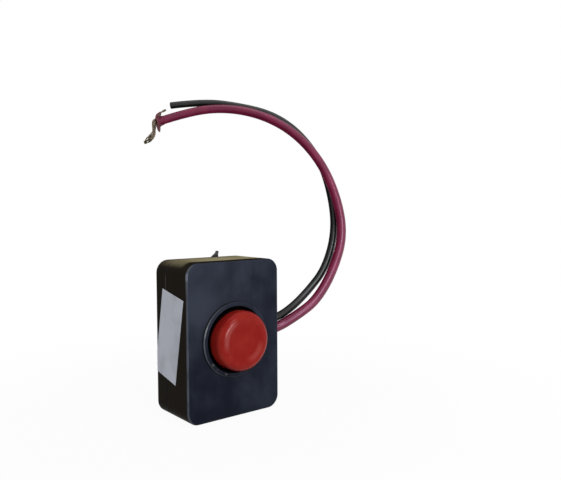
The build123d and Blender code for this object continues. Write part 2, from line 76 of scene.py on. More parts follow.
# Free run of each lead, as steps from the point where it leaves the right wall, in metres
LEAD_INSIDE = 0.0045
RED_RUN = [
    (0.0040, 0.0, 0.0),
    (0.0130, -0.0030, 0.00485),
    (0.0205, -0.0045, 0.0095),
    (0.0289, -0.0040, 0.0190),
    (0.0357, -0.0028, 0.0321),
    (0.0378, 0.0025, 0.0460),
    (0.0365, 0.0100, 0.0605),
    (0.0325, 0.0205, 0.0725),
    (0.0255, 0.0320, 0.0805),
    (0.0160, 0.0445, 0.0844),
    (0.0050, 0.0560, 0.0835),
    (-0.0050, 0.0655, 0.0793),
]
BLACK_RUN = [
    (0.0040, 0.0, 0.0),
    (0.0125, 0.0005, 0.0030),
    (0.0205, 0.0005, 0.0084),
    (0.0286, -0.0005, 0.0165),
    (0.0358, 0.0018, 0.0299),
    (0.0388, 0.0068, 0.0435),
    (0.03915, 0.01335, 0.0576),
    (0.0360, 0.0230, 0.0700),
    (0.0300, 0.0330, 0.0780),
    (0.0210, 0.0435, 0.0818),
    (0.0110, 0.0550, 0.0842),
    (0.0005, 0.0645, 0.0828),
]

# Bare strands at the red lead's end: their guide, and that of a few that curl back, as steps from that end
STRAND_START = 0.0016
STRAND_RUN = [
    (-0.0020, 0.0009, -0.0024),
    (-0.0015, 0.0008, -0.0044),
    (-0.0027, 0.0017, -0.0070),
    (-0.0046, 0.0032, -0.0086),
]
TAIL_RUN = [
    (-0.0004, 0.0003, 0.0026),
    (0.0002, -0.0001, 0.0037),
    (0.0012, -0.0009, 0.0041),
    (0.0022, -0.0018, 0.0048),
    (0.0028, -0.0023, 0.0054),
]
BUNDLE_RADIUS = 0.00085
TANGLE_RADIUS = 0.0007
TAIL_RADIUS = 0.0004
TAIL_STRANDS = 8

# Pale flecks on the front, low beside the collar: across the box, height and radius
FLECKS = [
    (-0.0088, 0.0181, 0.00060),
    (-0.0040, 0.0144, 0.00050),
    (-0.0073, 0.0165, 0.00025),
]

# Patch of the front that is paler than the rest, high on the left: across the box and height
PALE_PLACE = (-0.0125, 0.0360)

# Way that the smooth side of the leads faces
SMOOTH_SIDE = (-0.27, -0.95, 0.15)

# Bands in metres, for wear, gloss and painted highlights: where each starts, is full, fades and ends
SEAM_MARK_HEIGHTS = (0.0395, 0.0405, 0.0450, 0.0460)
CORNER_MARK_HEIGHTS = (0.0440, 0.0455, 0.0465, 0.0475)
COLLAR_LIP_RADII = (0.0115, 0.0118, 0.0120, 0.0122)
LIP_GLINT_HEIGHTS = (0.0012, 0.0026, 0.0044, 0.0058)
CAP_RIM_RADII = (0.0060, 0.0068, 0.0074, 0.0084)
DISH_EDGE_RADII = (0.0046, 0.0057, 0.0062, 0.0072)


class SwitchColours(bpy.types.PropertyGroup):
    """Colours of the finishes."""

    black: FloatVectorProperty(
        name="Black plastic", description="Moulded box", subtype="COLOR", size=3,
        min=0, max=1, default=(0.0048, 0.0070, 0.0150))
    black_pale: FloatVectorProperty(
        name="Pale black", description="Clouded patches of the box", subtype="COLOR", size=3,
        min=0, max=1, default=(0.0360, 0.0425, 0.0620))
    black_warm: FloatVectorProperty(
        name="Warm black", description="Sides of the box", subtype="COLOR", size=3,
        min=0, max=1, default=(0.0200, 0.0160, 0.0115))
    # Worn edges of the box; also the painted highlight along its left-front edge
    scuff_and_highlight: FloatVectorProperty(
        name="Scuffs", description="Worn edges of the box", subtype="COLOR", size=3,
        min=0, max=1, default=(0.10, 0.11, 0.13))
    dirt: FloatVectorProperty(
        name="Dirt", description="Flecks beside the collar", subtype="COLOR", size=3,
        min=0, max=1, default=(0.20, 0.18, 0.15))
    cap: FloatVectorProperty(
        name="Cap", description="Red push cap", subtype="COLOR", size=3,
        min=0, max=1, default=(0.285, 0.011, 0.008))
    # Faded and worn patches of the cap; made a little paler, it is also the painted highlight in the dish
    cap_faded_and_highlight: FloatVectorProperty(
        name="Faded cap", description="Worn patches of the cap", subtype="COLOR", size=3,
        min=0, max=1, default=(0.34, 0.021, 0.014))
    red_lead: FloatVectorProperty(
        name="Red lead", description="Insulation of the thicker lead", subtype="COLOR", size=3,
        min=0, max=1, default=(0.152, 0.010, 0.037))
    black_lead: FloatVectorProperty(
        name="Black lead", description="Insulation of the thinner lead", subtype="COLOR", size=3,
        min=0, max=1, default=(0.009, 0.009, 0.009))
    copper: FloatVectorProperty(
        name="Copper", description="Tarnished strands", subtype="COLOR", size=3,
        min=0, max=1, default=(0.32, 0.25, 0.18))
    paper: FloatVectorProperty(
        name="Paper", description="Bare label", subtype="COLOR", size=3,
        min=0, max=1, default=(0.72, 0.745, 0.825))
    dust: FloatVectorProperty(
        name="Dust", description="Tan dust on the top of the box", subtype="COLOR", size=3,
        min=0, max=1, default=(0.42, 0.36, 0.21))
    # Painted shade: dark colour painted at the foot of the cap inside the collar, and on the cap's
    # underside
    painted_shade: FloatVectorProperty(
        name="Shade", description="Foot of the cap, inside the collar", subtype="COLOR", size=3,
        min=0, max=1, default=(0.006, 0.003, 0.004))
    torn: FloatVectorProperty(
        name="Torn inside", description="Inside of the torn red insulation", subtype="COLOR", size=3,
        min=0, max=1, default=(0.15, 0.040, 0.050))


class SwitchSizes(bpy.types.PropertyGroup):
    """Sizes of the pieces that are added to the solids."""

    red_diameter: FloatProperty(
        name="Red lead", description="Outer diameter of the red lead", unit="LENGTH",
        default=0.0035, precision=4)
    black_diameter: FloatProperty(
        name="Black lead", description="Outer diameter of the black lead", unit="LENGTH",
        default=0.0028, precision=4)
    red_length: FloatProperty(
        name="Red length", description="Length of the red lead", unit="LENGTH",
        default=0.164, precision=4)
    black_length: FloatProperty(
        name="Black length", description="Length of the black lead", unit="LENGTH",
        default=0.157, precision=4)
    strand_count: IntProperty(
        name="Strands", description="Bare strands at the end of the red lead", min=3, default=32)
    strand_diameter: FloatProperty(
        name="Strand", description="Diameter of one bare strand", unit="LENGTH",
        default=0.00028, precision=5)
    label_width: FloatProperty(
        name="Label width", description="Width of the paper label", unit="LENGTH",
        default=0.0133, precision=4)
    label_height: FloatProperty(
        name="Label height", description="Height of the paper label", unit="LENGTH",
        default=0.0276, precision=4)
    label_tilt: FloatProperty(
        name="Label tilt", description="Turn of the label on its wall", subtype="ANGLE",
        default=radians(11.5))
    spring_wire: FloatProperty(
        name="Spring wire", description="Diameter of the return spring's wire", unit="LENGTH",
        default=0.0005, precision=5)
    spring_turns: FloatProperty(
        name="Spring turns", description="Turns of the return spring", default=3.5)


class SwitchStudio(bpy.types.PropertyGroup):
    """Camera, lamps and floor."""

    camera_place: FloatVectorProperty(
        name="Camera", description="Where the camera stands", subtype="TRANSLATION", unit="LENGTH",
        size=3, default=(-0.10988, -0.17030, 0.06543), precision=5)
    camera_turn: FloatVectorProperty(
        name="Turn", description="Turn of the camera", subtype="EULER", unit="ROTATION",
        size=3, default=(1.5248, 0.0052, -0.6754), precision=4)
    lens: FloatProperty(
        name="Lens", description="Focal length in millimetres", unit="CAMERA", default=39.43)
    ambient: FloatProperty(
        name="Ambient", description="Strength of the light from all round", default=0.33)
    window: FloatProperty(
        name="Window", description="Power of the low window light in watts", default=0.6)
    skylight: FloatProperty(
        name="Skylight", description="Power of the wide light from the upper front in watts", default=0.78)
    overhead: FloatProperty(
        name="Overhead", description="Power of the overhead light in watts", default=0.6)
    floor_white: FloatProperty(
        name="White floor", description="Share of the floor that shows as plain white",
        subtype="FACTOR", min=0, max=1, default=0.95)


class Finish:
    """A procedural material in the making: its shader, and short calls for the nodes that feed it."""

    def __init__(self, name, specular=0.5, metallic=0.0):
        self.material = bpy.data.materials.new(name)
        self.material.use_nodes = True
        self.tree = self.material.node_tree
        self.shader = self.tree.nodes["Principled BSDF"]
        self.shader.inputs["Specular IOR Level"].default_value = specular
        self.shader.inputs["Metallic"].default_value = metallic
        self.place = self.node("ShaderNodeTexCoord")

    def node(self, kind, inputs=None, **settings):
        """New node with its settings. Each input is a value or a socket to link."""
        made = self.tree.nodes.new(kind)
        for name, value in settings.items():
            setattr(made, name, value)
        for name, value in (inputs or {}).items():
            self.feed(made.inputs[name], value)
        return made

    def feed(self, socket, value):
        if isinstance(value, bpy.types.NodeSocket):
            self.tree.links.new(value, socket)
        elif socket.type == "RGBA":
            socket.default_value = (*value, 1.0)
        else:
            socket.default_value = value

    def set(self, **inputs):
        """Feeds the shader's inputs, named with underscores for spaces."""
        for name, value in inputs.items():
            self.feed(self.shader.inputs[name.replace("_", " ")], value)

    def mapped(self, stretch=(1, 1, 1), turn=(0, 0, 0), shift=(0, 0, 0)):
        """Object coordinates, stretched, turned and shifted."""
        inputs = {"Location": shift, "Rotation": turn, "Scale": stretch}
        inputs["Vector"] = self.place.outputs["Object"]
        return self.node("ShaderNodeMapping", inputs).outputs["Vector"]

    def noise(self, scale, detail=3.0, vector=None):
        """Noise with scale features to the metre."""
        inputs = {"Vector": vector or self.place.outputs["Object"], "Scale": scale, "Detail": detail}
        return self.node("ShaderNodeTexNoise", inputs).outputs[0]

    def step(self, value, low, high, to_low=0.0, to_high=1.0):
        """Smooth step of a value between two levels."""
        inputs = {"Value": value, "From Min": low, "From Max": high, "To Min": to_low, "To Max": to_high}
        return self.node("ShaderNodeMapRange", inputs, interpolation_type="SMOOTHSTEP").outputs["Result"]

    def calc(self, operation, first, second):
        made = self.node("ShaderNodeMath", operation=operation)
        self.feed(made.inputs[0], first)
        self.feed(made.inputs[1], second)
        return made.outputs[0]

    def times(self, *factors):
        """Product of all the factors."""
        product = factors[0]
        for factor in factors[1:]:
            product = self.calc("MULTIPLY", product, factor)
        return product

    def mix(self, factor, first, second):
        made = self.node("ShaderNodeMix", data_type="RGBA")
        self.feed(made.inputs[0], factor)
        self.feed(made.inputs[6], first)
        self.feed(made.inputs[7], second)
        return made.outputs[2]

    def parts(self, vector):
        return self.node("ShaderNodeSeparateXYZ", {"Vector": vector}).outputs

    def edges(self, low=0.02, high=0.25):
        """1 where the surface rounds over from one flat side to another."""
        flat = self.node("ShaderNodeVectorMath", operation="ABSOLUTE")
        self.feed(flat.inputs[0], self.place.outputs["Normal"])
        along = self.parts(flat.outputs[0])
        largest = self.calc("MAXIMUM", self.calc("MAXIMUM", along[0], along[1]), along[2])
        return self.step(self.calc("SUBTRACT", 1.0, largest), low, high)

    def from_line(self, x, z):
        """Distance from a line that runs front to back."""
        reach = self.node("ShaderNodeVectorMath", operation="LENGTH")
        self.feed(reach.inputs[0], self.mapped(stretch=(1, 0, 1), shift=(-x, 0, -z)))
        return reach.outputs["Value"]

    def from_axis(self):
        """Distance from the button's axis."""
        return self.from_line(BUTTON_X, BUTTON_Z)

    def band(self, value, start, full, fade, end):
        """1 from full to fade, and 0 before start and after end."""
        return self.times(self.step(value, start, full), self.step(value, end, fade))

    def bump(self, height, distance, under=None):
        inputs = {"Height": height, "Distance": distance, "Strength": 1.0}
        if under:
            inputs["Normal"] = under
        return self.node("ShaderNodeBump", inputs).outputs["Normal"]


def moulded_black(colours):
    """Satin black moulding: clouded in front, dull at its sides, worn at its edges, with a painted
    highlight along its left-front edge, and dusty on top.
    """
    finish = Finish("moulded_black")
    cloud = finish.noise(110, 6)
    streak = finish.noise(260, 3, finish.mapped(stretch=(1, 1, 0.15)))
    facing = finish.parts(finish.place.outputs["Normal"])
    spot = finish.parts(finish.place.outputs["Object"])
    front = finish.step(facing[1], -0.3, -0.8)
    # Cloudy, streaked tone that is paler towards the upper left and in a patch high on the left
    paleness = finish.calc("ADD", cloud, finish.times(streak, 0.4))
    above = finish.calc("SUBTRACT", spot[2], BUTTON_Z)
    upper_left = finish.times(above, finish.calc("SUBTRACT", WALL_X, spot[0]))
    paleness = finish.calc("ADD", paleness, finish.step(upper_left, -0.0007, 0.0007, -0.12, 0.38))
    pale = finish.step(finish.from_line(*PALE_PLACE), 0.011, 0.002, 0.0, 0.32)
    paleness = finish.calc("ADD", paleness, pale)
    colour = finish.mix(finish.step(paleness, 0.45, 1.45), tuple(colours.black), tuple(colours.black_pale))
    colour = finish.mix(front, tuple(colours.black_warm), colour)
    not_top = finish.step(facing[2], 0.3, 0.05)
    worn = finish.times(finish.edges(), not_top, finish.step(finish.noise(330, 4), 0.5, 0.68), 0.4)
    colour = finish.mix(worn, colour, tuple(colours.scuff_and_highlight))
    # Painted highlight on edges that face left and front, broken by noise into rubbed wear: pale on the
    # front, dirt-coloured at the seam, paler still near the top corner
    left_front = finish.step(finish.times(facing[0], facing[1]), 0.1, 0.4)
    at_seam = finish.step(spot[1], -0.004, 0.0)
    seam_reach = finish.times(at_seam, finish.band(spot[2], *SEAM_MARK_HEIGHTS))
    corner_reach = finish.band(spot[2], *CORNER_MARK_HEIGHTS)
    corner_reach = finish.times(corner_reach, finish.calc("SUBTRACT", 1.0, at_seam))
    rubbed_and_highlight = finish.times(left_front, finish.step(finish.noise(120, 4), 0.3, 0.6, 0.35, 0.8))
    front_reach = finish.step(spot[1], -0.004, -0.007)
    corner_highlight_and_wear = tuple(2 * part for part in colours.scuff_and_highlight)
    colour = finish.mix(finish.times(rubbed_and_highlight, front_reach), colour, tuple(colours.scuff_and_highlight))
    colour = finish.mix(finish.times(rubbed_and_highlight, seam_reach), colour, tuple(colours.dirt))
    colour = finish.mix(finish.times(rubbed_and_highlight, corner_reach), colour, corner_highlight_and_wear)
    on_top = finish.times(finish.step(facing[2], 0.5, 0.95), finish.step(spot[2], 0.044, 0.046))
    from_front = finish.step(spot[1], -0.0065, -0.0045)
    from_back = finish.step(spot[1], 0.009, 0.003, 0.45, 1.0)
    lying = finish.times(from_front, from_back, finish.step(spot[0], -0.020, -0.002, 0.3, 1.0))
    dusty = finish.times(on_top, lying, finish.step(finish.noise(90, 5), 0.25, 0.7, 0.75, 1.0))
    colour = finish.mix(dusty, colour, tuple(colours.dust))
    torn = finish.step(spot[2], HOUSING_HIGH.z + 0.0002, HOUSING_HIGH.z + 0.0012, 0.0, 0.45)
    colour = finish.mix(torn, colour, tuple(colours.dirt))
    ragged = finish.step(finish.noise(2600, 2), 0.3, 0.6)
    for x, z, radius in FLECKS:
        spread = finish.step(finish.from_line(x, z), radius, 0.5 * radius, 0.0, 0.7)
        fleck = finish.times(front, ragged, spread)
        colour = finish.mix(fleck, colour, tuple(colours.dirt))
    lip = finish.times(front, finish.band(finish.from_axis(), *COLLAR_LIP_RADII))
    rough = finish.calc("SUBTRACT", finish.step(paleness, 0.6, 1.0, 0.36, 0.46), finish.times(lip, 0.16))
    polished = finish.times(lip, finish.step(spot[0], -0.0090, -0.0104), finish.step(above, -0.004, -0.001))
    glint = finish.step(finish.band(above, *LIP_GLINT_HEIGHTS), 0.0, 1.0, 0.25, 1.1)
    gloss = finish.calc("ADD", finish.step(front, 0.0, 1.0, 0.004, 0.07), finish.times(lip, 0.03))
    gloss = finish.calc("ADD", gloss, finish.times(polished, glint))
    gloss = finish.times(gloss, finish.calc("SUBTRACT", 1.0, on_top))
    low = finish.bump(cloud, 0.00006)
    relief = finish.bump(finish.noise(2400, 2), 0.000006, low)
    finish.set(Base_Color=colour, Roughness=rough, Specular_IOR_Level=gloss, Normal=relief)
    return finish


def cap_red(colours):
    """Glossy red moulding: dulled where fingers press, polished along its rim, with a painted highlight at
    the lower right of the dish edge, and painted shade at its foot and under it.
    """
    finish = Finish("cap_red")
    cloud = finish.noise(130, 5)
    scratches = finish.noise(500, 4, finish.mapped(stretch=(1, 1, 0.08), turn=(0, 0.7, 0)))
    peel = finish.noise(900, 2)
    reach = finish.from_axis()
    rim = finish.band(reach, *CAP_RIM_RADII)
    worn = finish.times(rim, finish.step(finish.noise(500, 4), 0.45, 0.7), 0.5)
    colour = finish.mix(finish.step(cloud, 0.35, 0.7), tuple(colours.cap), tuple(colours.cap_faded_and_highlight))
    colour = finish.mix(worn, colour, tuple(colours.cap_faded_and_highlight))
    # Painted highlight: a paler patch at the lower right of the dish edge, where the dish's slope faces the
    # light
    dish_highlight = finish.step(finish.from_line(BUTTON_X + 0.0041, BUTTON_Z - 0.0040), 0.0048, 0.0014)
    dish_highlight = finish.times(dish_highlight, finish.band(reach, *DISH_EDGE_RADII))
    colour = finish.mix(dish_highlight, colour, tuple(part + 0.02 for part in colours.cap_faded_and_highlight))
    spot = finish.parts(finish.place.outputs["Object"])
    # Painted shade at the foot of the cap, where it goes into the collar; it reaches further out on the
    # cap's upper side
    depth = finish.calc("ADD", spot[1], finish.step(spot[2], BUTTON_Z, CAP_HIGH.z, 0.0, 0.0012))
    unshaded = finish.step(depth, HOUSING_LOW.y + 0.0009, HOUSING_LOW.y - 0.0003)
    colour = finish.mix(unshaded, tuple(colours.painted_shade), colour)
    # Painted shade on the lower sides of the cap, darker towards its bottom
    sides = finish.step(finish.parts(finish.place.outputs["Normal"])[1], -0.85, -0.45)
    under = finish.times(sides, finish.step(spot[2], BUTTON_Z - 0.0035, CAP_LOW.z, 0.0, 0.6))
    colour = finish.mix(under, colour, tuple(colours.painted_shade))
    left = finish.step(spot[0], -0.0022, -0.0048)
    left = finish.times(left, finish.step(spot[2], BUTTON_Z - 0.0032, BUTTON_Z + 0.0008))
    gloss = finish.calc("ADD", finish.step(rim, 0.0, 1.0, 0.09, 0.12), finish.times(rim, left, 0.55))
    gloss = finish.times(unshaded, gloss, finish.calc("SUBTRACT", 1.0, under))
    rough = finish.step(finish.calc("ADD", cloud, scratches), 0.8, 1.25, 0.15, 0.22)
    rough = finish.calc("ADD", rough, finish.step(reach, 0.0066, 0.0056, 0.0, 0.06))
    low = finish.bump(peel, 0.000008)
    relief = finish.bump(scratches, 0.000006, low)
    sheen = (1.0, 0.72, 0.70)
    finish.set(Base_Color=colour, Roughness=rough, Normal=relief)
    finish.set(Specular_IOR_Level=gloss, Specular_Tint=sheen)
    return finish


def insulation(name, colour, dusty, specular, sheen):
    """Soft insulation with faint marks of handling, smooth on one side and dull elsewhere."""
    finish = Finish(name)
    facing = finish.node("ShaderNodeVectorMath", operation="DOT_PRODUCT")
    finish.feed(facing.inputs[0], finish.place.outputs["Normal"])
    finish.feed(facing.inputs[1], SMOOTH_SIDE)
    gloss = finish.step(facing.outputs["Value"], 0.50, 0.97, 0.01, specular)
    cloud = finish.noise(160, 5)
    fine = finish.noise(1500, 3)
    pale = tuple(min(1.0, part * 1.35 + dusty) for part in colour)
    colour = finish.mix(finish.step(cloud, 0.4, 0.72), tuple(colour), pale)
    rough = finish.step(cloud, 0.3, 0.7, 0.25, 0.31)
    low = finish.bump(cloud, 0.00005)
    relief = finish.bump(fine, 0.00001, low)
    finish.set(Base_Color=colour, Roughness=rough, Normal=relief)
    finish.set(Specular_IOR_Level=gloss, Specular_Tint=sheen)
    return finish


def metal(name, colour, dull, rough):
    """Plated or rolled metal with patches of tarnish."""
    finish = Finish(name, metallic=1.0)
    cloud = finish.noise(400, 5)
    brushed = finish.noise(900, 2, finish.mapped(stretch=(1, 1, 0.1)))
    tint = finish.mix(finish.step(cloud, 0.4, 0.7), tuple(colour), dull)
    level = finish.step(finish.calc("ADD", cloud, brushed), 0.7, 1.3, rough, rough + 0.2)
    finish.set(Base_Color=tint, Roughness=level, Normal=finish.bump(brushed, 0.000004))
    return finish


def copper_strand(colours):
    """Tarnished copper, from bright patches to brown ones, with a dark olive tip."""
    olive = (0.050, 0.052, 0.016)
    finish = Finish("copper_strand", metallic=0.85)
    patch = finish.noise(700, 4)
    fine = finish.noise(4000, 2)
    dull = tuple(0.42 * part for part in colours.copper)
    tint = finish.mix(finish.step(patch, 0.38, 0.62), tuple(colours.copper), dull)
    height = finish.parts(finish.place.outputs["Object"])[2]
    tip = finish.step(height, STRANDS_END_Z + 0.0024, STRANDS_END_Z + 0.0010, 0.0, 0.8)
    tint = finish.mix(tip, tint, olive)
    rough = finish.step(patch, 0.35, 0.7, 0.30, 0.55)
    finish.set(Base_Color=tint, Roughness=rough, Normal=finish.bump(fine, 0.000004))
    return finish


def paper_white(colours):
    """Bare paper with soft fibres, greyed in patches by handling."""
    finish = Finish("paper_white", specular=0.12)
    cloud = finish.noise(120, 5)
    fibre = finish.noise(1400, 4, finish.mapped(stretch=(1, 1, 0.4)))
    grey = tuple(0.80 * part for part in colours.paper)
    colour = finish.mix(finish.step(cloud, 0.4, 0.75), tuple(colours.paper), grey)
    rough = finish.step(fibre, 0.3, 0.7, 0.65, 0.85)
    finish.set(Base_Color=colour, Roughness=rough, Normal=finish.bump(fibre, 0.000015))
    return finish


def matt(name, colour, other, rough):
    """Matt material of two close tones."""
    finish = Finish(name, specular=0.25)
    cloud = finish.noise(250, 5)
    fine = finish.noise(1800, 3)
    tint = finish.mix(finish.step(cloud, 0.35, 0.7), tuple(colour), tuple(other))
    level = finish.step(cloud, 0.3, 0.7, rough, rough + 0.15)
    finish.set(Base_Color=tint, Roughness=level, Normal=finish.bump(fine, 0.00001))
    return finish


def show(node, finish):
    """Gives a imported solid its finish."""
    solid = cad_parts[node]
    solid.data.materials.clear()
    solid.data.materials.append(finish.material)


def new_object(name, data):
    made = bpy.data.objects.new(name, data)
    bpy.context.scene.collection.objects.link(made)
    return made


def box_piece(name, data, slot, *solids):
    """Piece that rides on the box and stands for some solids. Its slot is not used."""
    made = new_object(name, data)
    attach(made, "box")
    if solids:
        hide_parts(*solids)
    return made


def finished_mesh(name, shape, *finishes):
    """Smooth mesh from a bmesh, with its finishes."""
    mesh = bpy.data.meshes.new(name)
    shape.to_mesh(mesh)
    shape.free()
    mesh.shade_smooth()
    for finish in finishes:
        mesh.materials.append(finish.material)
    return mesh


def new_curve(name, diameter, sides, smoothness):
    """Round curve with capped ends and no lines yet."""
    curve = bpy.data.curves.new(name, "CURVE")
    curve.dimensions = "3D"
    curve.bevel_depth = diameter / 2
    curve.bevel_resolution = sides
    curve.resolution_u = smoothness
    curve.use_fill_caps = diameter > 0
    return curve


def add_line(curve, places):
    """Smooth line with the places as its control points."""
    line = curve.splines.new("NURBS")
    line.points.add(len(places) - 1)
    for point, place in zip(line.points, places):
        point.co = (*place, 1.0)
    line.order_u = 3
    line.use_endpoint_u = True


def as_mesh(curve):
    """Mesh of a curve's lines. The curve itself is removed."""
    holder = bpy.data.objects.new(curve.name, curve)
    mesh = bpy.data.meshes.new_from_object(holder)
    bpy.data.objects.remove(holder)
    bpy.data.curves.remove(curve)
    return mesh


def line_places(points):
    """Places read along the smooth line that has the given control points."""
    curve = new_curve("guide", 0.0, 0, 8)
    add_line(curve, points)
    mesh = as_mesh(curve)
    places = [vertex.co.copy() for vertex in mesh.vertices]
    bpy.data.meshes.remove(mesh)
    return places


def lead_route(node, run, diameter):
    """Points of a lead: from its soldered end, out through the wall and along its free run."""
    leaves = Vector((WALL_X, LEAD_Y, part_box(node)[0].z + diameter / 2))
    return [leaves - Vector((LEAD_INSIDE, 0, 0))] + [leaves + Vector(step) for step in run]


def lead_end(node, run, diameter):
    """A lead's far end, with three directions there: level across it, upright across it and outward."""
    before, end = lead_route(node, run, diameter)[-2:]
    outward = (end - before).normalized()
    across = outward.cross(Vector((0, 0, 1))).normalized()
    return end, across, across.cross(outward), outward


def end_matrix(end, across, upright, outward):
    """Places a shape that was made along z at a lead's end."""
    matrix = Matrix((across, upright, outward)).transposed().to_4x4()
    matrix.translation = end
    return matrix


def lead_cord(name, node, run, diameter, slot, finish):
    """Lead on one smooth line, with the route's points as its control points."""
    route = lead_route(node, run, diameter)
    curve = new_curve(name, diameter, 8, 16)
    add_line(curve, route)
    curve.materials.append(finish.material)
    cord = box_piece(name, curve, slot, node)


class SWITCH_OT_stage(bpy.types.Operator):
    """Camera, soft lamps, white surroundings and a pale floor"""

    bl_idname = "switch.stage"
    bl_label = "Stage"

    def execute(self, context):
        studio = context.scene.switch_studio
        lens = bpy.data.cameras.new("camera")
        lens.lens = studio.lens
        camera = new_object("camera", lens)
        camera.location = studio.camera_place
        camera.rotation_euler = studio.camera_turn
        context.scene.camera = camera
        context.scene.view_settings.view_transform = "Standard"
        self.surroundings(context, studio)
        self.floor(studio)
        self.lamp("window", (0.060, -0.530, 0.085), (0.22, 0.16), studio.window, (0.88, 0.94, 1.0))
        self.lamp("skylight", (0.0, -0.400, 0.330), (0.18, 0.26), studio.skylight, (0.90, 0.95, 1.0))
        self.lamp("overhead", (-0.06, 0.04, 0.60), (0.45, 0.45), studio.overhead, (1.0, 1.0, 1.0))
        return {"FINISHED"}

    def lamp(self, name, place, size, power, colour):
        light = bpy.data.lights.new(name, "AREA")
        light.shape = "ELLIPSE"
        light.size, light.size_y = size
        light.energy = power
        light.color = colour
        lamp = new_object(name, light)
        lamp.location = place
        aim = Vector((BUTTON_X, 0, BUTTON_Z)) - Vector(place)
        lamp.rotation_euler = aim.to_track_quat("-Z", "Y").to_euler()

    def seen_share(self, tree):
        """1 for rays from the camera, mirrors and glass."""
        path = tree.nodes.new("ShaderNodeLightPath")
        share = path.outputs["Is Camera Ray"]
        for other in ("Is Glossy Ray", "Is Transmission Ray"):
            larger = tree.nodes.new("ShaderNodeMath")
            larger.operation = "MAXIMUM"
            tree.links.new(share, larger.inputs[0])
            tree.links.new(path.outputs[other], larger.inputs[1])
            share = larger.outputs[0]
        return share

    def surroundings(self, context, studio):
        world = bpy.data.worlds.new("surroundings")
        world.use_nodes = True
        context.scene.world = world
        tree = world.node_tree
        soft = tree.nodes["Background"]
        soft.inputs["Color"].default_value = (1.0, 1.0, 1.0, 1.0)
        soft.inputs["Strength"].default_value = studio.ambient
        white = tree.nodes.new("ShaderNodeBackground")
        white.inputs["Color"].default_value = (1.0, 1.0, 1.0, 1.0)
        white.inputs["Strength"].default_value = 1.0
        mix = tree.nodes.new("ShaderNodeMixShader")
        tree.links.new(self.seen_share(tree), mix.inputs[0])
        tree.links.new(soft.outputs[0], mix.inputs[1])
        tree.links.new(white.outputs[0], mix.inputs[2])
        tree.links.new(mix.outputs[0], tree.nodes["World Output"].inputs["Surface"])

    def floor(self, studio):
        """Pale floor that keeps the shadow near the object and goes over to plain white further off."""
        shape = bmesh.new()
        bmesh.ops.create_grid(shape, x_segments=1, y_segments=1, size=3.0)
        finish = Finish("pale_floor")
        tree = finish.tree
        tree.nodes.remove(finish.shader)
        soft = finish.node("ShaderNodeBsdfDiffuse", {"Color": (0.85, 0.85, 0.85)})
        white = finish.node("ShaderNodeEmission", {"Strength": 1.0})
        reach = finish.node("ShaderNodeVectorMath", operation="LENGTH")
        finish.feed(reach.inputs[0], finish.place.outputs["Object"])
        fade = finish.step(reach.outputs["Value"], 0.04, 0.16, studio.floor_white, 1.0)
        mix = finish.node("ShaderNodeMixShader")
        finish.feed(mix.inputs[0], finish.times(self.seen_share(tree), fade))
        finish.feed(mix.inputs[1], soft.outputs[0])
        finish.feed(mix.inputs[2], white.outputs[0])
        finish.feed(tree.nodes["Material Output"].inputs["Surface"], mix.outputs[0])
        new_object("floor", finished_mesh("floor", shape, finish))


